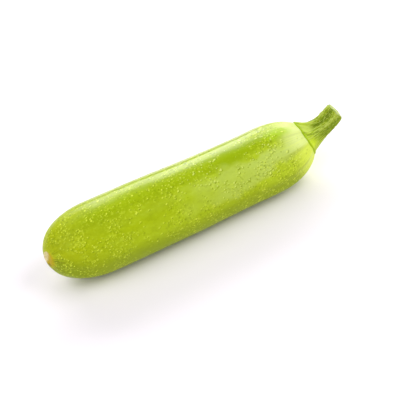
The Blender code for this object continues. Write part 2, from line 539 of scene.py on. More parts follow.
@dataclass(frozen=True)
class SkinFinish:
    """The waxy skin: light green, with a pale collar round the stem and fine pale flecks.

    Attributes:
        blossom_pole, stem_pole: the middles of the scar and of the stem's foot.
        length: the fruit's length.
        blossom_green, early_green, middle_green, shoulder_green: its greens from the blossom end to the stem.
        collar, low_collar: the pale collar, above and below: its own pale colour, with painted sheen making
            the upper part whiter.
        top_green, patch_green, painted_highlight_green, deep_green_and_shade: the greens of its top, of the
        shoulder's patch and of the painted highlight on the flank, and a deep green for mottle and veins that
        is also painted on the low side as shade.
        fleck, highlit_fleck, fleck_shade_and_dark_grit: the flecks, the flecks made paler towards the stem by
        the painted highlight, and a dark green for grit and for a painted shadow beside each fleck.
        straw, ochre, dark_line, bruise: the rings, lines and spot round the scar.
        fine_cell, coarse_cell: the room that a small and a large fleck have.
        fine_radius, coarse_radius: the smallest radius of each kind, as a share of its room.
        shade_shift: how far a fleck's painted shadow lies from it.
        vein_count, first_vein: the broad veins round the stem, and the angle of the first.
        mottle_size, fine_mottle_size, painted_light_edge_size, patch_size, crowd_size: how wide the clouds
        are that part the greens, fray the edges of the top green and of the painted highlight, and crowd the
        flecks.
        wave_size, pore_size, grit_size: the sizes of the skin's relief and of its finest marks.
        relief: how high the relief stands.
    """

    blossom_pole: Vector
    stem_pole: Vector
    length: float
    blossom_green: tuple = paint(179, 191, 4)
    early_green: tuple = paint(168, 187, 12)
    middle_green: tuple = paint(174, 195, 20)
    shoulder_green: tuple = paint(182, 204, 48)
    # the pale collar round the stem, whiter above with painted sheen
    collar: tuple = paint(219, 232, 142)
    low_collar: tuple = paint(212, 228, 80)
    fleck: tuple = paint(224, 237, 70)
    # flecks made paler where the painted highlight lies
    highlit_fleck: tuple = paint(222, 236, 116)
    # dark green for grit and for the painted shadow beside each fleck
    fleck_shade_and_dark_grit: tuple = paint(132, 154, 0)
    top_green: tuple = paint(143, 168, 0)
    patch_green: tuple = paint(164, 196, 20)
    # painted highlight: the pale, soft reflection on the near flank
    painted_highlight_green: tuple = paint(190, 207, 106)
    # deep green of the mottle and veins, also laid on the low side as painted shade
    deep_green_and_shade: tuple = paint(142, 160, 2)
    ochre: tuple = paint(192, 174, 6)
    straw: tuple = paint(206, 204, 44)
    dark_line: tuple = paint(120, 128, 0)
    bruise: tuple = paint(84, 74, 30)
    fine_cell: float = 0.0015
    fine_radius: float = 0.27
    coarse_cell: float = 0.0028
    coarse_radius: float = 0.19
    shade_shift: float = 0.0005
    vein_count: int = 10
    first_vein: float = math.radians(150)
    mottle_size: float = 0.022
    fine_mottle_size: float = 0.0032
    painted_light_edge_size: float = 0.012
    patch_size: float = 0.010
    crowd_size: float = 0.014
    wave_size: float = 0.006
    pore_size: float = 0.0011
    grit_size: float = 0.0014
    relief: float = 0.00026

    def material(self) -> bpy.types.Material:
        """Returns the skin's material."""
        skin = SkinGraph(self)
        along, side, up = skin.along, skin.side, skin.up
        skin.colour = skin.ramp(
            along,
            [(0.0, self.blossom_green), (0.2, self.early_green), (0.42, self.middle_green),
             (0.72, self.middle_green), (1.0, self.shoulder_green)],
        )
        self.mottle(skin)
        self.paint_light_and_shade(skin)
        # The pale collar round the stem: its own pale colour, partly painted sheen, whiter where it faces up.
        skin.cover(skin.mix(skin.span(up, 0.62, 0.4), self.collar, self.low_collar), skin.near_stem)
        self.shoulder_patch(skin)
        veins = self.veins(skin)
        flecks = self.flecks(skin)
        self.scar_surround(skin)
        sheen = (0.5 + 0.4 * skin.span(along, 0.25, 0.7)) * (0.15 + 0.85 * skin.span(along, 0.91, 0.80))
        rim = side + 0.08 * skin.span(along, 0.78, 0.62)
        for window in ((along, 0.06, 0.24), (up, 0.7, 0.96), (rim, -0.16, 0.12)):
            sheen = sheen * skin.span(*window)
        skin.feed(skin.shader.inputs["Coat Weight"], sheen)
        pores = skin.noise(self.pore_size)
        waves = skin.noise(self.wave_size, 1.0)
        roughness = 0.28 + 0.14 * skin.span(along, 0.3, 0.08) + 0.08 * waves + 0.08 * flecks
        height = pores * 0.3 + waves * 0.9 + flecks * 0.7 + veins * 0.2
        return skin.finish(roughness, height, 0.6, self.relief)

    def mottle(self, skin: SkinGraph) -> None:
        """Covers the skin with broad and fine uneven patches.

        Args:
            skin: the skin's graph.
        """
        broad = skin.clouds(skin.vector("MULTIPLY", skin.place, (0.5, 1, 1)), 1 / self.mottle_size)
        stretched = skin.vector("MULTIPLY", skin.place, (0.55, 1, 1))
        fine = skin.clouds(stretched, 1 / self.fine_mottle_size, 3.0, 0.65)
        skin.cover(self.deep_green_and_shade, 0.35, (broad, 0.38, 0.72))
        skin.cover(self.deep_green_and_shade, 0.35, (fine, 0.5, 0.3))
        skin.cover(self.shoulder_green, 0.45, (fine, 0.5, 0.75))

    def paint_light_and_shade(self, skin: SkinGraph) -> None:
        """Paints shade on the low side, deepens the green along the top, and paints a wide, faint, pale
        highlight on the flank between them.

        Args:
            skin: the skin's graph.
        """
        along, up = skin.along, skin.up
        flank = (skin.side, 0.1, -0.1)
        low = up + 0.35 * skin.span(along, 0.0, 0.16) - 0.35
        # Painted shade: the low side darker, most at the blossom end.
        skin.cover(self.deep_green_and_shade, 0.75 + 0.25 * skin.span(along, 0.16, 0.06), (low, 0.2, -0.4))
        edge = 0.45 * (skin.noise(self.painted_light_edge_size) - 0.5)
        high = up + 0.2 * edge - 0.07 * skin.span(along, 0.68, 0.82)
        deep = 0.5 + 0.4 * skin.span(along, 0.5, 0.75)
        skin.cover(self.top_green, deep, (high, 0.78, 0.93), flank, (along, 0.06, 0.2))
        shoulder = skin.span(along, 0.66, 0.86)
        # Painted highlight: a wide, faint, pale patch on the near flank towards the shoulder.
        skin.cover(
            self.painted_highlight_green, 0.42 + 0.3 * shoulder, (along + 0.4 * edge, 0.42, 0.66), (along, 1.0, 0.86),
            (up + edge - 0.3 * shoulder, 0.02, 0.22), (up + edge, 0.92, 0.76), flank,
        )

    def shoulder_patch(self, skin: SkinGraph) -> None:
        """Lays a patch of fresh green on top of the shoulder.

        Args:
            skin: the skin's graph.
        """
        edge = 0.4 * (skin.noise(self.patch_size) - 0.5)
        along, side = skin.along + 0.15 * edge, skin.side + edge
        ends = ((along, 0.80, 0.86), (along, 0.94, 0.88))
        skin.cover(self.patch_green, 0.85, *ends, (side, 0.02, -0.12), (side, -0.44, -0.27))

    def veins(self, skin: SkinGraph) -> Signal:
        """Draws light and dark lines that run to the stem.

        Args:
            skin: the skin's graph.

        Returns:
            The fine light lines.
        """
        lines = skin.streaks((5, 26, 26), 2.0, 0.6)
        near = (skin.from_stem, 0.055, 0.025)
        light = skin.span(lines, 0.54, 0.66) * skin.span(*near)
        skin.cover(self.fleck, light * 0.2)
        skin.cover(self.deep_green_and_shade, 0.15, (lines, 0.46, 0.36), near)
        turn = skin.math("ARCTAN2", skin.up, skin.side) - self.first_vein
        wave = skin.math("COSINE", turn * self.vein_count) + 0.5 * (lines - 0.5)
        ends = ((skin.from_stem, 0.046, 0.030), (skin.from_stem, 0.015, 0.025))
        skin.cover(self.deep_green_and_shade, 0.4, (wave, 0.7, 1.0), *ends, (skin.up, 0.95, 0.82))
        return light

    def flecks(self, skin: SkinGraph) -> Signal:
        """Lays pale flecks, more of them low and at both ends, each with a painted shadow at one side.

        Args:
            skin: the skin's graph.

        Returns:
            The flecks.
        """
        along, up = skin.along, skin.up
        ends = skin.math("MAXIMUM", skin.span(along, 0.28, 0.12), skin.span(along, 0.68, 0.82))
        crowd = skin.span(skin.noise(self.crowd_size), 0.42, 0.54)
        share = 0.1 + 0.68 * crowd + 0.1 * skin.span(up, 0.2, -0.7) + 0.12 * ends
        share = share * (1 - 0.7 * skin.near_stem) * (0.82 + 0.18 * ends)
        fine, fine_shade = self.fleck_layer(skin, self.fine_cell, self.fine_radius, share * 0.8)
        coarse, coarse_shade = self.fleck_layer(skin, self.coarse_cell, self.coarse_radius, share * 0.65)
        flecks = skin.math("MAXIMUM", fine, coarse)
        shades = skin.math("MAXIMUM", fine_shade, coarse_shade)
        grit = skin.noise(self.grit_size, 1.0)
        # Painted shadows: a dark crescent beside each fleck, as if it stood raised in the light.
        skin.cover(self.fleck_shade_and_dark_grit, shades * (0.9 - 0.6 * skin.near_stem))
        skin.cover(self.fleck, share * 0.4, (grit, 0.54, 0.68))
        skin.cover(self.fleck_shade_and_dark_grit, share * 0.45, (grit, 0.46, 0.32))
        # Painted highlight: the flecks paler towards the stem and the top, under the pale painted highlight.
        pale = skin.span(along, 0.4, 0.62) * skin.span(up, 0.1, 0.4)
        skin.cover(skin.mix(pale, self.fleck, self.highlit_fleck), flecks * (0.85 + 0.15 * ends))
        return flecks

    def fleck_layer(
        self, skin: SkinGraph, cell: float, radius: float, share: Signal
    ) -> tuple[Signal, Signal]:
        """Returns one size of flecks and a painted shadow along one side of each.

        Args:
            skin: the skin's graph.
            cell: the room that a fleck has.
            radius: the smallest fleck's radius as a share of its cell.
            share: how many of the cells hold a fleck.

        Returns:
            The flecks and their painted shadows.
        """
        warp = skin.clouds(skin.place, 1.5 / cell) * 0.9 * cell
        stray = skin.vector("ADD", skin.vector("MULTIPLY", skin.place, (0.8, 1, 1)), warp)
        spots = []
        # The second, shifted pass gives each fleck's painted shadow.
        for shift in (0.0, self.shade_shift):
            moved = skin.vector("ADD", stray, (-0.5 * shift, 0.6 * shift, 0.8 * shift))
            distance, kind = skin.cells(moved, 1 / cell)
            chance, size, depth = skin.parts(kind)
            present = skin.math("LESS_THAN", chance, share)
            spots.append((1 - distance / (radius + 0.12 * size), present * (0.5 + 0.5 * depth)))
        (spot, weight), (shade, shade_weight) = spots
        return skin.span(spot, 0.0, 0.35) * weight, skin.span(shade, -0.4, 0.1) * shade_weight

    def scar_surround(self, skin: SkinGraph) -> None:
        """Lays an ochre ring round the scar, short dark lines that leave it and a bruise at its low edge.

        Args:
            skin: the skin's graph.
        """
        flank, out = skin.facing(*FLANK), skin.from_scar
        lines = skin.streaks((2, 12, 12), 1.0)
        edge = out + 0.0024 * lines - 0.0018 * flank
        skin.cover(self.straw, 0.6, (edge, 0.0092, 0.0052))
        skin.cover(self.ochre, 0.9, (edge, 0.0068, 0.0054))
        share = 0.85 * (0.3 + 0.7 * skin.span(flank, 0.1, 0.8))
        skin.cover(self.dark_line, share, (lines, 0.52, 0.58), (out, 0.017, 0.007), (out, 0.0045, 0.0065))
        low = skin.facing(*BRUISED) + 0.3 * (lines - 0.5)
        edge = out + 0.002 * (lines - 0.5)
        skin.cover(self.bruise, 0.85, (low, 0.86, 1.02), (edge, 0.0036, 0.0044), (edge, 0.0064, 0.0048))


class SkinGraph(Graph):
    """The skin's node tree, with the measures that its markings follow.

    Attributes:
        along: the share of the way from the blossom end to the stem.
        side, up: where a point lies round the fruit.
        from_stem, from_scar: the distances from the two poles.
        near_stem: 1 in the collar round the stem.
    """

    def __init__(self, finish: SkinFinish) -> None:
        """Starts the skin's material.

        Args:
            finish: the skin's sizes and colours.
        """
        super().__init__(
            "skin", IOR=1.2, Subsurface_Weight=0.12, Subsurface_Scale=0.004,
            Subsurface_Radius=(0.9, 1.0, 0.25), Coat_Roughness=0.17, Coat_IOR=1.5,
        )
        self.along = (self.parts(self.place)[0] - BLOSSOM_END.x) / finish.length
        _, self.side, self.up = self.growth
        self.from_stem = self.vector("DISTANCE", self.place, tuple(finish.stem_pole))
        self.from_scar = self.vector("DISTANCE", self.place, tuple(finish.blossom_pole))
        self.near_stem = self.span(self.from_stem, 0.036, 0.020)


@dataclass(frozen=True)
class ScarFinish:
    """The dry, corky scar: pale straw with brown cracks, ochre on the flank and bruised at its low edge.

    Attributes:
        centre, radius: its middle and how wide it is.
        pale, brown, ochre, bruise: its colours.
        crumb_size: how wide a crumb of the cork is.
        relief: how high the crumbs stand.
    """

    centre: Vector
    radius: float
    pale: tuple = paint(240, 228, 172)
    brown: tuple = paint(176, 146, 66)
    ochre: tuple = paint(196, 170, 10)
    bruise: tuple = paint(92, 80, 34)
    crumb_size: float = 0.0007
    relief: float = 0.0003

    def material(self) -> bpy.types.Material:
        """Returns the scar's material."""
        graph = Graph("blossom_scar", self.pale, IOR=1.4)
        out = graph.vector("DISTANCE", graph.place, tuple(self.centre)) / self.radius
        crumbs = graph.noise(self.crumb_size, 3.0, 0.7)
        spokes = graph.streaks((3, 9, 9))
        stray = crumbs - 0.5
        low = graph.facing(*BRUISED) + 0.4 * stray
        graph.cover(self.brown, 0.8, (spokes, 0.45, 0.66))
        graph.cover(self.ochre, 0.95, (graph.facing(*FLANK) * out + 0.8 * stray, -0.3, 0.2))
        graph.cover(self.brown, 0.5, (crumbs, 0.54, 0.7))
        graph.cover(self.bruise, 0.8, (low, 0.86, 1.0), (out + 0.3 * stray, 0.78, 0.98))
        return graph.finish(0.75 + 0.2 * crumbs, crumbs + spokes, 0.7, self.relief)


@dataclass(frozen=True)
class StemFinish:
    """The fibrous stem: pale crests, olive troughs and a bright yellow-green foot with a green rim.

    Attributes:
        green, trough, crest: the shaft's colours; the trough's colour is also painted as shade on the
            underside near the foot.
        foot, facet_highlight, lobe, rim: the foot's colours all over, a painted highlight between lobes, on
            the
        near lobe and at its edge.
        relief: how high the fibres stand.
    """

    green: tuple = paint(146, 168, 16)
    trough: tuple = paint(112, 134, 0)
    crest: tuple = paint(190, 206, 88)
    foot: tuple = paint(178, 202, 26)
    # painted highlight on the flare's upper facets
    facet_highlight: tuple = paint(190, 208, 84)
    lobe: tuple = paint(200, 224, 20)
    rim: tuple = paint(160, 190, 6)
    relief: float = 0.0004

    def material(self) -> bpy.types.Material:
        """Returns the stem's material."""
        graph = Graph("stem_skin", self.green, IOR=1.3, Subsurface_Weight=0.06, Subsurface_Scale=0.002)
        along, side, up = graph.growth
        crest = graph.attribute("crest", "Fac")
        fibres = graph.streaks((2.2, 5, 5), 3.0, 0.65)
        threads = graph.streaks((9, 11, 11), 2.0, 0.6)
        stray = fibres - 0.5
        graph.cover(self.trough, 0.55 + 0.45 * graph.span(up, 0.1, 0.6), (crest + 1.6 * stray, 0.1, -0.75))
        graph.cover(self.crest, 0.65, (crest + 1.4 * stray, 0.5, 0.95))
        graph.cover(self.foot, 0.8, (along, 0.30, 0.10))
        graph.cover(self.crest, 0.75, (threads, 0.52, 0.6))
        graph.cover(self.trough, 0.8, (threads, 0.47, 0.38))
        # Painted shade: the underside near the foot darker, where it faces the fruit.
        graph.cover(self.trough, 0.5, (up, 0.1, -0.5), (along, 0.15, 0.35))
        ends = ((along, 0.05, 0.10), (along, 0.26, 0.16))
        # Painted highlight: the upper facets of the flare between its lobes paler.
        graph.cover(self.facet_highlight, 0.7, *ends, (crest, 0.6, -0.3), (up, 0.2, 0.7))
        near = 0.25 + 0.75 * graph.span(side, 0.3, -0.3)
        graph.cover(self.lobe, near * 0.8, (along, 0.2, 0.1), (up, -0.35, -0.05), (up, 0.5, 0.3))
        graph.cover(self.rim, 0.85, (along, 0.075, 0.04))
        return graph.finish(0.5 + 0.2 * threads, fibres * 0.7 + threads, 0.8, self.relief)


@dataclass(frozen=True)
class CutFinish:
    """The cut across the stem: pale moist pith with a ring of darker bundles inside the bark."""

    pith: tuple = paint(202, 214, 134)
    bundle: tuple = paint(150, 172, 70)
    bark: tuple = paint(120, 142, 34)
    bundle_size: float = 0.0011
    crumb_size: float = 0.0006
    relief: float = 0.0002

    def material(self) -> bpy.types.Material:
        """Returns the cut's material."""
        graph = Graph("cut_end", self.pith, IOR=1.4, Subsurface_Weight=0.1, Subsurface_Scale=0.002)
        out, _, _ = graph.growth
        bundles = graph.noise(self.bundle_size, 1.0)
        crumbs = graph.noise(self.crumb_size)
        graph.cover(self.bundle, 0.8, (bundles, 0.42, 0.56), (out, 0.4, 0.6), (out, 0.9, 0.78))
        graph.cover(self.bark, 1.0, (out, 0.84, 0.98))
        return graph.finish(0.42 + 0.25 * crumbs, crumbs, 0.5, self.relief)


@dataclass(frozen=True)
class CloudedFinish:
    """Two colours in soft clouds, for the stem's hairs and the floor.

    Attributes:
        name: the material's name.
        colour, other: its colours.
        share: how much of the other colour the clouds show.
        size, detail: how wide and how fine the clouds are.
        roughness: the same all over.
    """

    name: str
    colour: tuple
    other: tuple
    share: float
    size: float
    detail: float
    roughness: float

    def material(self) -> bpy.types.Material:
        """Returns the material."""
        graph = Graph(self.name, self.colour)
        graph.cover(self.other, graph.noise(self.size, self.detail) * self.share)
        return graph.finish(self.roughness)


# Sub-assemblies


@dataclass
class Fruit:
    """The fruit's body with its ribs, rounded ends and the hollow of the blossom scar."""

    length: float = 0.196
    blossom_diameter: float = 0.050
    shoulder_diameter: float = 0.0458
    blossom_cap: float = 0.039
    shoulder_cap: float = 0.034
    blossom_roundness: float = 0.94
    scar_slide: float = math.radians(11.6)
    scar_side: float = math.radians(137)
    stem_slide: float = math.radians(9.5)
    rib_at_blossom: float = 0.012
    rib_at_middle: float = 0.006
    rib_at_shoulder: float = 0.024
    main_rib: float = 0.006
    rib_fades_by: float = 0.4
    rib_grows_from: float = 0.55
    belly_press: float = 0.0006
    belly_curve_radius: float = 4.5
    belly_low_point: float = 0.48 * 0.196
    side_bow: float = 0.0010
    scar_radius: float = 0.0044
    scar_depth: float = 0.0009
    scar_lip: float = 0.0004
    scar_steps: int = 4
    cap_steps: int = 11
    barrel_steps: int = 10
    lump_size: float = 0.040
    lump_height: float = 0.0007
    ripple_size: float = 0.011
    ripple_height: float = 0.00020

    def barrel_radius(self, x: float) -> float:
        """Returns the barrel's plain radius at x, which slims from the blossom end to the shoulder."""
        share = (x - self.blossom_cap) / (self.length - self.blossom_cap - self.shoulder_cap)
        return blend(self.blossom_diameter, self.shoulder_diameter, ease(share)) / 2

    def rib_depth(self, x: float) -> float:
        """Returns the ribs' depth at x, as a share of the radius.

        Args:
            x: the way from the blossom end.

        Returns:
            The depth.
        """
        share = x / self.length
        blossom = blend(self.rib_at_blossom, self.rib_at_middle, ease(share / self.rib_fades_by))
        growth = (share - self.rib_grows_from) / (1 - self.rib_grows_from)
        return blend(blossom, self.rib_at_shoulder, ease(growth))

    def ribbed(self, x: float, radius: float) -> list[float]:
        """Returns the radius at each phase: a main rib on each crest and a blunt one in each trough.

        Args:
            x: the way from the blossom end.
            radius: the plain radius there.

        Returns:
            The radii.
        """
        turn = math.pi / (PHASES / 2)
        depth = self.rib_depth(x)
        return [
            radius * (1 + depth * math.cos(2 * turn * phase) + self.main_rib * math.cos(turn * phase))
            for phase in range(PHASES // 2 + 1)
        ]

    def axis(self, x: float) -> Vector:
        """Returns the centreline at x: the belly lies level and the middle bows to one side.

        Args:
            x: the way from the blossom end.

        Returns:
            The middle of the cross section.
        """
        rise = (x - self.belly_low_point) ** 2 / (2 * self.belly_curve_radius)
        height = self.barrel_radius(x) * (1 - self.rib_depth(x)) - self.belly_press + rise
        bow = -self.side_bow * (1 - (2 * x / self.length - 1) ** 2)
        return BLOSSOM_END + Vector((x, bow, height))

    def blossom_ring(self, slope: float, lift: float = 0.0) -> Ring:
        """Returns a ring of the blossom end.

        Args:
            slope: from 0 at the pole to a quarter turn at the barrel.
            lift: how far it stands out from the skin.

        Returns:
            The ring.
        """
        share = math.sin(slope) ** self.blossom_roundness
        height = max(math.cos(slope), 0.0) ** self.blossom_roundness
        from_scar = share * self.blossom_diameter / 2 / self.scar_radius
        if from_scar < 1:
            relief = blend(self.scar_depth, -self.scar_lip, from_scar**3)
        else:
            relief = -self.scar_lip * max(0.0, 3 - 2 * from_scar)
        reach = height - (relief - lift) / self.blossom_cap
        slide = self.scar_slide * min(reach, 1.0) ** 2
        x = self.blossom_cap * (1 - reach * math.cos(slide))
        aside = Vector((0, math.cos(self.scar_side), math.sin(self.scar_side)))
        centre = self.axis(x) + aside * (reach * math.sin(slide) * self.blossom_diameter / 2)
        lean = math.atan(math.tan(slide) * self.blossom_cap / (self.blossom_diameter / 2))
        rise = -math.asin(math.sin(lean) * aside.z)
        swing = -math.atan2(math.sin(lean) * aside.y, math.cos(lean))
        ribs = self.ribbed(self.blossom_cap * (1 - height), share * self.blossom_diameter / 2)
        return Ring(centre, ribs, rise=rise, swing=swing, along=x / self.length)

    def shoulder_ring(self, share: float, lift: float = 0.0) -> Ring:
        """Returns a ring of the shoulder.

        Args:
            share: the ring's radius as a share of the barrel's.
            lift: how far its centre stands out.

        Returns:
            The ring.
        """
        height = math.sqrt(max(0.0, 1 - share**2)) + lift / self.shoulder_cap
        slide = self.stem_slide * min(height, 1.0) ** 2
        x = self.length - self.shoulder_cap * (1 - height * math.cos(slide))
        centre = self.axis(x) + Vector((0, 0, height * math.sin(slide) * self.shoulder_diameter / 2))
        rise = math.atan(math.tan(slide) * self.shoulder_cap / (self.shoulder_diameter / 2))
        plain = self.length - self.shoulder_cap * (1 - min(height, 1.0))
        ribs = self.ribbed(plain, share * self.shoulder_diameter / 2)
        return Ring(centre, ribs, rise=rise, along=x / self.length)

    def plan(self) -> list[Ring]:
        """Returns all rings from the blossom pole to the pole under the stem."""
        edge = math.asin(self.scar_radius / (self.blossom_diameter / 2))
        slopes = [edge * step / self.scar_steps for step in range(self.scar_steps + 1)]
        slopes += [blend(edge, math.pi / 2, step / self.cap_steps) for step in range(1, self.cap_steps + 1)]
        rings = [self.blossom_ring(slope) for slope in slopes]
        for step in range(1, self.barrel_steps):
            x = blend(self.blossom_cap, self.length - self.shoulder_cap, step / self.barrel_steps)
            rings.append(Ring(self.axis(x), self.ribbed(x, self.barrel_radius(x)), along=x / self.length))
        for step in range(self.cap_steps, -1, -1):
            rings.append(self.shoulder_ring(math.sin(math.pi / 2 * step / self.cap_steps)))
        return rings

    def build(self) -> bpy.types.Object:
        """Makes the fruit and returns it."""
        plan = self.plan()
        start_clean()
        bpy.ops.mesh.primitive_uv_sphere_add(
            segments=COLUMNS, ring_count=len(plan) - 1, radius=self.blossom_diameter,
            rotation=(0, math.pi / 2, 0),
        )
        form = RingForm("zucchini_fruit")
        form.shape(plan)
        fruit = form.form
        subdivide(fruit, 2)
        roughen(fruit, self.lump_size, self.lump_height)
        roughen(fruit, self.ripple_size, self.ripple_height)
        self.press_belly(fruit)
        return fruit

    def press_belly(self, fruit: bpy.types.Object) -> None:
        """Flattens what would pass the surface that the fruit lies on.

        Args:
            fruit: the fruit.
        """
        make_active(fruit)
        bpy.ops.object.mode_set(mode="EDIT")
        bpy.ops.mesh.select_all(action="DESELECT")
        for point in bmesh.from_edit_mesh(fruit.data).verts:
            point.select = point.co.z < 0
        bpy.ops.transform.resize(value=(1, 1, 0), center_override=(0, 0, 0))
        bpy.ops.object.mode_set(mode="OBJECT")

    def dress(self, fruit: bpy.types.Object) -> None:
        """Gives the fruit its skin."""
        skin = SkinFinish(self.blossom_ring(0.0).centre, self.shoulder_ring(0.0).centre, self.length)
        finish_piece(fruit, "skin", skin.material())
        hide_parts("fruit")


@dataclass
class ExtrudedForm:
    """Builds a closed piece from a disc that is extruded once for each further ring."""

    name: str
    step: float = 0.001
    radius: float = 0.01

    def build(self, plan: list[Ring]) -> bpy.types.Object:
        """Makes the piece.

        Args:
            plan: its rings from one end to the other.

        Returns:
            The piece, not yet subdivided.
        """
        start_clean()
        bpy.ops.mesh.primitive_circle_add(
            vertices=COLUMNS, radius=self.radius, fill_type="NGON", rotation=(0, math.pi / 2, 0)
        )
        form = RingForm(self.name)
        bpy.ops.mesh.select_all(action="SELECT")
        for _ in plan[1:]:
            bpy.ops.mesh.extrude_region_move(TRANSFORM_OT_translate={"value": (self.step, 0, 0)})
        form.shape(plan)
        return form.form


@dataclass
class BlossomScar:
    """The corky scar that fills the hollow at the blossom end."""

    fruit: Fruit
    stand_out: float = 0.00012
    root: float = 0.0012
    edge_share: float = 0.95
    rings: int = 6
    crumb_size: float = 0.0016
    crumb_height: float = 0.0005
    root_shares: tuple = (1.0, 0.7)

    def plan(self) -> list[Ring]:
        """Returns the rings from the scar's middle to its edge and back to its buried root."""
        edge = math.asin(self.fruit.scar_radius * self.edge_share / (self.fruit.blossom_diameter / 2))
        rings = []
        for step in range(1, self.rings + 1):
            ring = self.fruit.blossom_ring(edge * step / self.rings, self.stand_out)
            ring.along = step / self.rings
            rings.append(ring)
        rings += [self.fruit.blossom_ring(edge * share, -self.root) for share in self.root_shares]
        return rings

    def build(self) -> bpy.types.Object:
        """Makes the scar and returns it."""
        scar = ExtrudedForm("zucchini_blossom_scar").build(self.plan())
        subdivide(scar, 2)
        roughen(scar, self.crumb_size, self.crumb_height)
        return scar

    def dress(self, scar: bpy.types.Object) -> None:
        """Gives the scar its cork."""
        finish = ScarFinish(self.fruit.blossom_ring(0.0).centre, self.fruit.scar_radius)
        finish_piece(scar, "blossom_scar", finish.material())


@dataclass
class Stem:
    """The ribbed stem with its lobed foot on the shoulder."""

    fruit: Fruit
    length: float = 0.0224
    cut_slant: float = math.radians(-6)
    foot_radius: float = 0.0131
    foot_rise: float = 0.0015
    neck_radius: float = 0.0063
    cut_radius: float = 0.0062
    neck_share: float = 0.36
    bend: float = math.radians(24)
    neck_twist: float = math.radians(9)
    cut_twist: float = math.radians(16)
    rib_at_foot: float = 0.03
    rib_at_neck: float = 0.15
    rib_at_cut: float = 0.10
    crest_sharpness: float = 1.25
    foot_thickness: float = 0.0009
    foot_sink: float = 0.0004
    flare_reach: float = 1.15
    flare_lift: float = 0.0012
    cut_rim: float = 0.0009
    cut_rim_share: float = 0.9
    root_depth: float = 0.003
    flare_steps: int = 6
    shaft_steps: int = 8
    bend_steps: int = 48
    slant_from: float = 0.75
    neck_along: float = 0.3
    flare_along: float = 0.06
    edge_inset: float = 0.97
    bevel_sink: float = 0.0003
    hollow_sink: float = 0.0006
    fibre_height: float = 0.0006
    fibre_wave: float = 0.2
    knot_size: float = 0.004
    knot_height: float = 0.0004

    def crests(self) -> list[float]:
        """Returns 1 on a crest to -1 in a trough, for each phase."""
        quarter = math.pi / 2 / (PHASES // 2)
        return [1 - 2 * math.sin(quarter * phase) ** self.crest_sharpness for phase in range(PHASES // 2 + 1)]

    def lobed(self, radius: float, depth: float) -> list[float]:
        """Returns the radius at each phase of the stem's ribs."""
        return [radius * (1 + depth * crest) for crest in self.crests()]

    def shaft_ring(self, share: float, inset: float = 1.0, forward: float = 0.0) -> Ring:
        """Returns a ring of the stem beyond its neck.

        Args:
            share: its share of the stem's length.
            inset: its scale.
            forward: how far it is moved along the stem.

        Returns:
            The ring.
        """
        pole = self.fruit.shoulder_ring(0.0)
        centre, rise = pole.centre.copy(), pole.rise
        for step in range(round(share * self.bend_steps)):
            rise = pole.rise + self.bend * (step + 0.5) / self.bend_steps
            centre += self.heading(rise) * self.length / self.bend_steps
        after = (share - self.neck_share) / (1 - self.neck_share)
        radius = blend(self.neck_radius, self.cut_radius, ease(after)) * inset
        ribs = self.lobed(radius, blend(self.rib_at_neck, self.rib_at_cut, after))
        twist = blend(self.neck_twist, self.cut_twist, after)
        slant = self.cut_slant * ease((share - self.slant_from) / (1 - self.slant_from))
        return Ring(centre + self.heading(rise) * forward, ribs, rise=rise + slant, swing=slant, twist=twist,
                    along=blend(self.neck_along, 1.0, after))

    @staticmethod
    def heading(rise: float) -> Vector:
        """Returns the direction that is turned this far from +X towards +Z."""
        return Vector((math.cos(rise), 0, math.sin(rise)))

    def foot_ring(self, inset: float, lift: float, along: float) -> Ring:
        """Returns a ring of the foot, which follows the fruit's shoulder.

        Args:
            inset: its scale.
            lift: how far it lies above the skin.
            along: its share of the way along the stem.

        Returns:
            The ring.
        """
        ring = self.fruit.shoulder_ring(self.foot_radius / (self.fruit.shoulder_diameter / 2), lift)
        ring.radii = self.lobed(self.foot_radius * inset, self.rib_at_foot)
        ring.centre += self.heading(ring.rise + math.pi / 2) * self.foot_rise
        ring.along = along
        return ring

    def flare_ring(self, share: float) -> Ring:
        """Returns a ring of the flare, which leaves the foot along the fruit and ends up along the stem.

        Args:
            share: the share of the way up the flare.

        Returns:
            The ring.
        """
        edge = self.foot_ring(self.edge_inset, self.foot_thickness, 0.0)
        reach = self.neck_radius * self.flare_reach
        corner = self.fruit.shoulder_ring(reach / (self.fruit.shoulder_diameter / 2), self.flare_lift)
        corner.radii = self.lobed(reach, self.rib_at_neck)
        neck = self.shaft_ring(self.neck_share)
        weights = ((1 - share) ** 2, 2 * share * (1 - share), share**2)
        rings = (edge, corner, neck)
        centre = sum((ring.centre * weight for ring, weight in zip(rings, weights)), Vector())
        columns = zip(*(ring.radii for ring in rings))
        radii = [sum(radius * weight for radius, weight in zip(column, weights)) for column in columns]
        rise = sum(ring.rise * weight for ring, weight in zip(rings, weights))
        along = blend(self.flare_along, self.neck_along, share)
        return Ring(centre, radii, rise=rise, twist=neck.twist * share, along=along)

    def plan(self) -> list[Ring]:
        """Returns the rings from the root in the fruit, round the foot's edge and up to the cut."""
        rings = [
            self.foot_ring(0.5, -self.root_depth, 0.0),
            self.foot_ring(0.96, -self.foot_sink, 0.0),
            self.foot_ring(1.0, 0.3 * self.foot_thickness, 0.03),
            self.foot_ring(0.985, 0.85 * self.foot_thickness, 0.05),
        ]
        rings += [self.flare_ring(step / self.flare_steps) for step in range(self.flare_steps)]
        for step in range(self.shaft_steps):
            share = blend(self.neck_share, 1 - self.cut_rim / self.length, step / (self.shaft_steps - 1))
            rings.append(self.shaft_ring(share))
        rings.append(self.shaft_ring(1.0, 0.955, -self.bevel_sink))
        rings.append(self.shaft_ring(1.0, self.cut_rim_share, 0.0))
        rings.append(self.shaft_ring(1.0, 0.8, -self.hollow_sink))
        return rings

    def build(self, fruit: bpy.types.Object) -> bpy.types.Object:
        """Makes the stem.

        Args:
            fruit: the finished fruit that it grows on.

        Returns:
            The stem.
        """
        stem = ExtrudedForm("zucchini_stem").build(self.plan())
        self.seat_foot(stem, fruit)
        subdivide(stem, 2)
        self.raise_fibres(stem)
        return stem

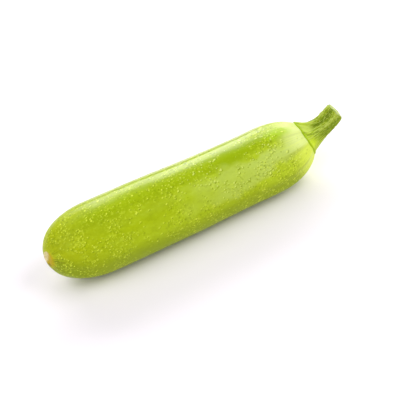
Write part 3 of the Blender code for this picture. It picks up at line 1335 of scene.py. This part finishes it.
    def seat_foot(self, stem: bpy.types.Object, fruit: bpy.types.Object) -> None:
        """Lays the foot's rings on the skin: the underside a little inside it, the rim a little above it.

        Args:
            stem: the stem, not yet subdivided.
            fruit: the finished fruit.
        """
        thickness = self.foot_thickness
        for ring, offset in enumerate((-self.foot_sink, 0.3 * thickness, thickness, thickness * 1.05), 1):
            numbers = range(ring * COLUMNS, (ring + 1) * COLUMNS)
            name = group_points(stem, f"ring_{ring}", lambda index, _: float(index in numbers))
            apply_modifier(
                stem, "SHRINKWRAP", target=fruit, wrap_method="NEAREST_SURFACEPOINT",
                wrap_mode="ON_SURFACE" if offset > 0 else "INSIDE", offset=abs(offset), vertex_group=name,
            )

    def raise_fibres(self, stem: bpy.types.Object) -> None:
        """Raises fine fibres along the stem, and none on its foot's edge.

        Args:
            stem: the stem.
        """
        grown = stem.data.attributes["grown"].data

        def fibre(index: int, _: Vector) -> float:
            """Returns how high the fibres stand at a point."""
            along, side, up = grown[index].vector
            angle = math.atan2(up, side) + 0.25 * math.sin(5 * along)
            waves = math.cos(25 * angle + 4 * along) + math.cos(41 * angle - 3 * along)
            return (0.5 + self.fibre_wave * waves) * ease((along - 0.04) / 0.2) * ease((1.0 - along) / 0.07)

        name = group_points(stem, "fibres", fibre)
        apply_modifier(stem, "DISPLACE", strength=self.fibre_height, mid_level=0.0, vertex_group=name)
        roughen(stem, self.knot_size, self.knot_height)

    def dress(self, stem: bpy.types.Object) -> None:
        """Gives the stem its fibrous skin."""
        finish_piece(stem, "stem_skin", StemFinish().material())
        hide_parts("stem")


@dataclass
class CutEnd:
    """The cut across the stem, slightly hollow."""

    stem: Stem
    hollow: float = 0.0007
    depth: float = 0.0016
    crumb_size: float = 0.0012
    crumb_height: float = 0.00025

    def plan(self) -> list[Ring]:
        """Returns the rings from the buried back of the cut, round its edge, to its hollow middle."""
        steps = [(0.7, -self.depth, 1.0), (0.88, -self.depth * 0.8, 1.0), (0.92, -0.0003, 1.0),
                 (0.88, 0.0001, 0.95), (0.72, -0.0001, 0.78), (0.5, -0.6 * self.hollow, 0.55),
                 (0.3, -0.95 * self.hollow, 0.33), (0.12, -self.hollow, 0.12)]
        rings = []
        for inset, forward, out in steps:
            ring = self.stem.shaft_ring(1.0, inset, forward)
            ring.along = out
            rings.append(ring)
        return rings

    def build(self) -> bpy.types.Object:
        """Makes the cut end and returns it."""
        cut = ExtrudedForm("zucchini_stem_cut").build(self.plan())
        subdivide(cut, 2)
        roughen(cut, self.crumb_size, self.crumb_height)
        return cut

    def dress(self, cut: bpy.types.Object) -> None:
        """Gives the cut its pale pith."""
        finish_piece(cut, "cut_end", CutFinish().material())


@dataclass
class StemHairs:
    """Short fine hairs on the stem, joined to one piece."""

    count: int = 260
    length: float = 0.0008
    radius: float = 0.00004
    lean: float = 0.5
    sink: float = 0.0001
    shortest: float = 0.5
    lowest: float = 0.115
    highest: float = 0.92
    seed: int = 7

    def build(self, stem: bpy.types.Object) -> bpy.types.Object:
        """Makes one hair, copies it over the stem and joins the copies.

        Args:
            stem: the finished stem.

        Returns:
            The hairs.
        """
        start_clean()
        bpy.ops.mesh.primitive_cone_add(vertices=3, radius1=self.radius, radius2=0, depth=self.length,
                                        location=(0, 0, self.length / 2))
        hair = bpy.context.object
        bpy.ops.object.transform_apply(location=True, rotation=False, scale=False)
        draw = random.Random(self.seed)
        grown = stem.data.attributes["grown"].data
        faces = []
        for face in stem.data.polygons:
            if self.lowest < min(grown[corner].vector.x for corner in face.vertices) < self.highest:
                faces.append(face)
        faces.sort(key=lambda face: tuple(face.center))
        copies = []
        for face in draw.sample(faces, self.count):
            copy = bpy.data.objects.new("hair", hair.data.copy())
            bpy.context.collection.objects.link(copy)
            stray = Vector((draw.uniform(0, 1), draw.uniform(-1, 1), draw.uniform(-1, 1))) * self.lean
            turn = Vector((0, 0, 1)).rotation_difference((face.normal + stray).normalized())
            size = draw.uniform(self.shortest, 1.0)
            copy.data.transform(Matrix.Translation(face.center - face.normal * self.sink)
                                @ turn.to_matrix().to_4x4() @ Matrix.Diagonal((1, 1, size, 1)))
            copies.append(copy)
        bpy.data.objects.remove(hair)
        make_active(copies[0])
        for copy in copies:
            copy.select_set(True)
        bpy.ops.object.join()
        copies[0].name = copies[0].data.name = "zucchini_stem_hairs"
        return copies[0]

    def dress(self, hairs: bpy.types.Object) -> None:
        """Gives the hairs their colour."""
        pale, green = paint(206, 214, 150), paint(170, 184, 96)
        finish = CloudedFinish("stem_hair", pale, green, share=1.0, size=0.002, detail=1.0, roughness=0.5)
        finish_piece(hairs, "stem_skin", finish.material())


@dataclass
class Studio:
    """The floor, the soft lights and the camera."""

    target: tuple = (0.00086, 0.0, 0.01578)
    azimuth: float = math.radians(-15)
    elevation: float = math.radians(40)
    roll: float = math.radians(-15.27)
    distance: float = 1.6
    lens: float = 218.9
    floor_size: float = 6.0
    sky_strength: float = 0.29
    aim: tuple = (0, 0, 0.03)

    def camera(self) -> None:
        """Places the camera at the photograph's angle, rolled so that the fruit slopes in the picture."""
        level = math.cos(self.elevation)
        across, away = math.sin(self.azimuth) * level, math.cos(self.azimuth) * level
        back = Vector((across, -away, math.sin(self.elevation)))
        right = Vector((0, 0, 1)).cross(back).normalized()
        up = back.cross(right)
        right, up = (right * math.cos(self.roll) + up * math.sin(self.roll),
                     up * math.cos(self.roll) - right * math.sin(self.roll))
        data = bpy.data.cameras.new("camera")
        data.lens = self.lens
        camera = bpy.data.objects.new("camera", data)
        bpy.context.scene.collection.objects.link(camera)
        turn = Matrix((right, up, back)).transposed().to_4x4()
        camera.matrix_world = Matrix.Translation(Vector(self.target) + back * self.distance) @ turn
        bpy.context.scene.camera = camera

    def softbox(self, name: str, place: tuple, size: tuple[float, float], watts: float) -> None:
        """Adds a soft rectangular light.

        Args:
            name: its name.
            place: where it stands.
            size: its width and height.
            watts: its power.
        """
        data = bpy.data.lights.new(name, "AREA")
        data.shape = "RECTANGLE"
        data.size, data.size_y = size
        data.energy = watts
        light = bpy.data.objects.new(name, data)
        bpy.context.scene.collection.objects.link(light)
        light.location = place
        light.rotation_euler = (Vector(self.aim) - Vector(place)).to_track_quat("-Z", "Y").to_euler()

    def build(self) -> None:
        """Makes the floor, the lights, the world and the camera."""
        start_clean()
        bpy.ops.mesh.primitive_plane_add(size=self.floor_size, location=(0, 0, 0))
        floor = bpy.context.object
        floor.name = floor.data.name = "floor"
        white, grey = paint(251, 245, 252), paint(242, 242, 242)
        finish = CloudedFinish("floor", white, grey, share=0.2, size=1 / 30, detail=2.0, roughness=0.85)
        floor.data.materials.append(finish.material())
        self.softbox("back_softbox", (0.30, 0.86, 0.59), (1.6, 0.45), 10.5)
        self.softbox("right_softbox", (1.2, -0.75, 1.2), (1.5, 1.5), 22.0)
        self.softbox("left_softbox", (-1.4, -0.4, 1.5), (2.4, 1.9), 24.0)
        world = bpy.data.worlds.new("studio")
        world.use_nodes = True
        background = world.node_tree.nodes["Background"]
        background.inputs["Color"].default_value = (1, 1, 1, 1)
        background.inputs["Strength"].default_value = self.sky_strength
        scene = bpy.context.scene
        scene.world = world
        scene.view_settings.view_transform = "Standard"
        self.camera()


def main() -> None:
    """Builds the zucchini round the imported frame, and the studio round the zucchini."""
    logging.basicConfig(level=logging.INFO, format="%(message)s")
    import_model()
    fruit = Fruit()
    fruit_piece = fruit.build()
    fruit.dress(fruit_piece)
    scar = BlossomScar(fruit)
    scar.dress(scar.build())
    stem = Stem(fruit)
    stem_piece = stem.build(fruit_piece)
    stem.dress(stem_piece)
    cut = CutEnd(stem)
    cut.dress(cut.build())
    hairs = StemHairs()
    hairs.dress(hairs.build(stem_piece))
    Studio().build()


if __name__ == "__main__":
    main()
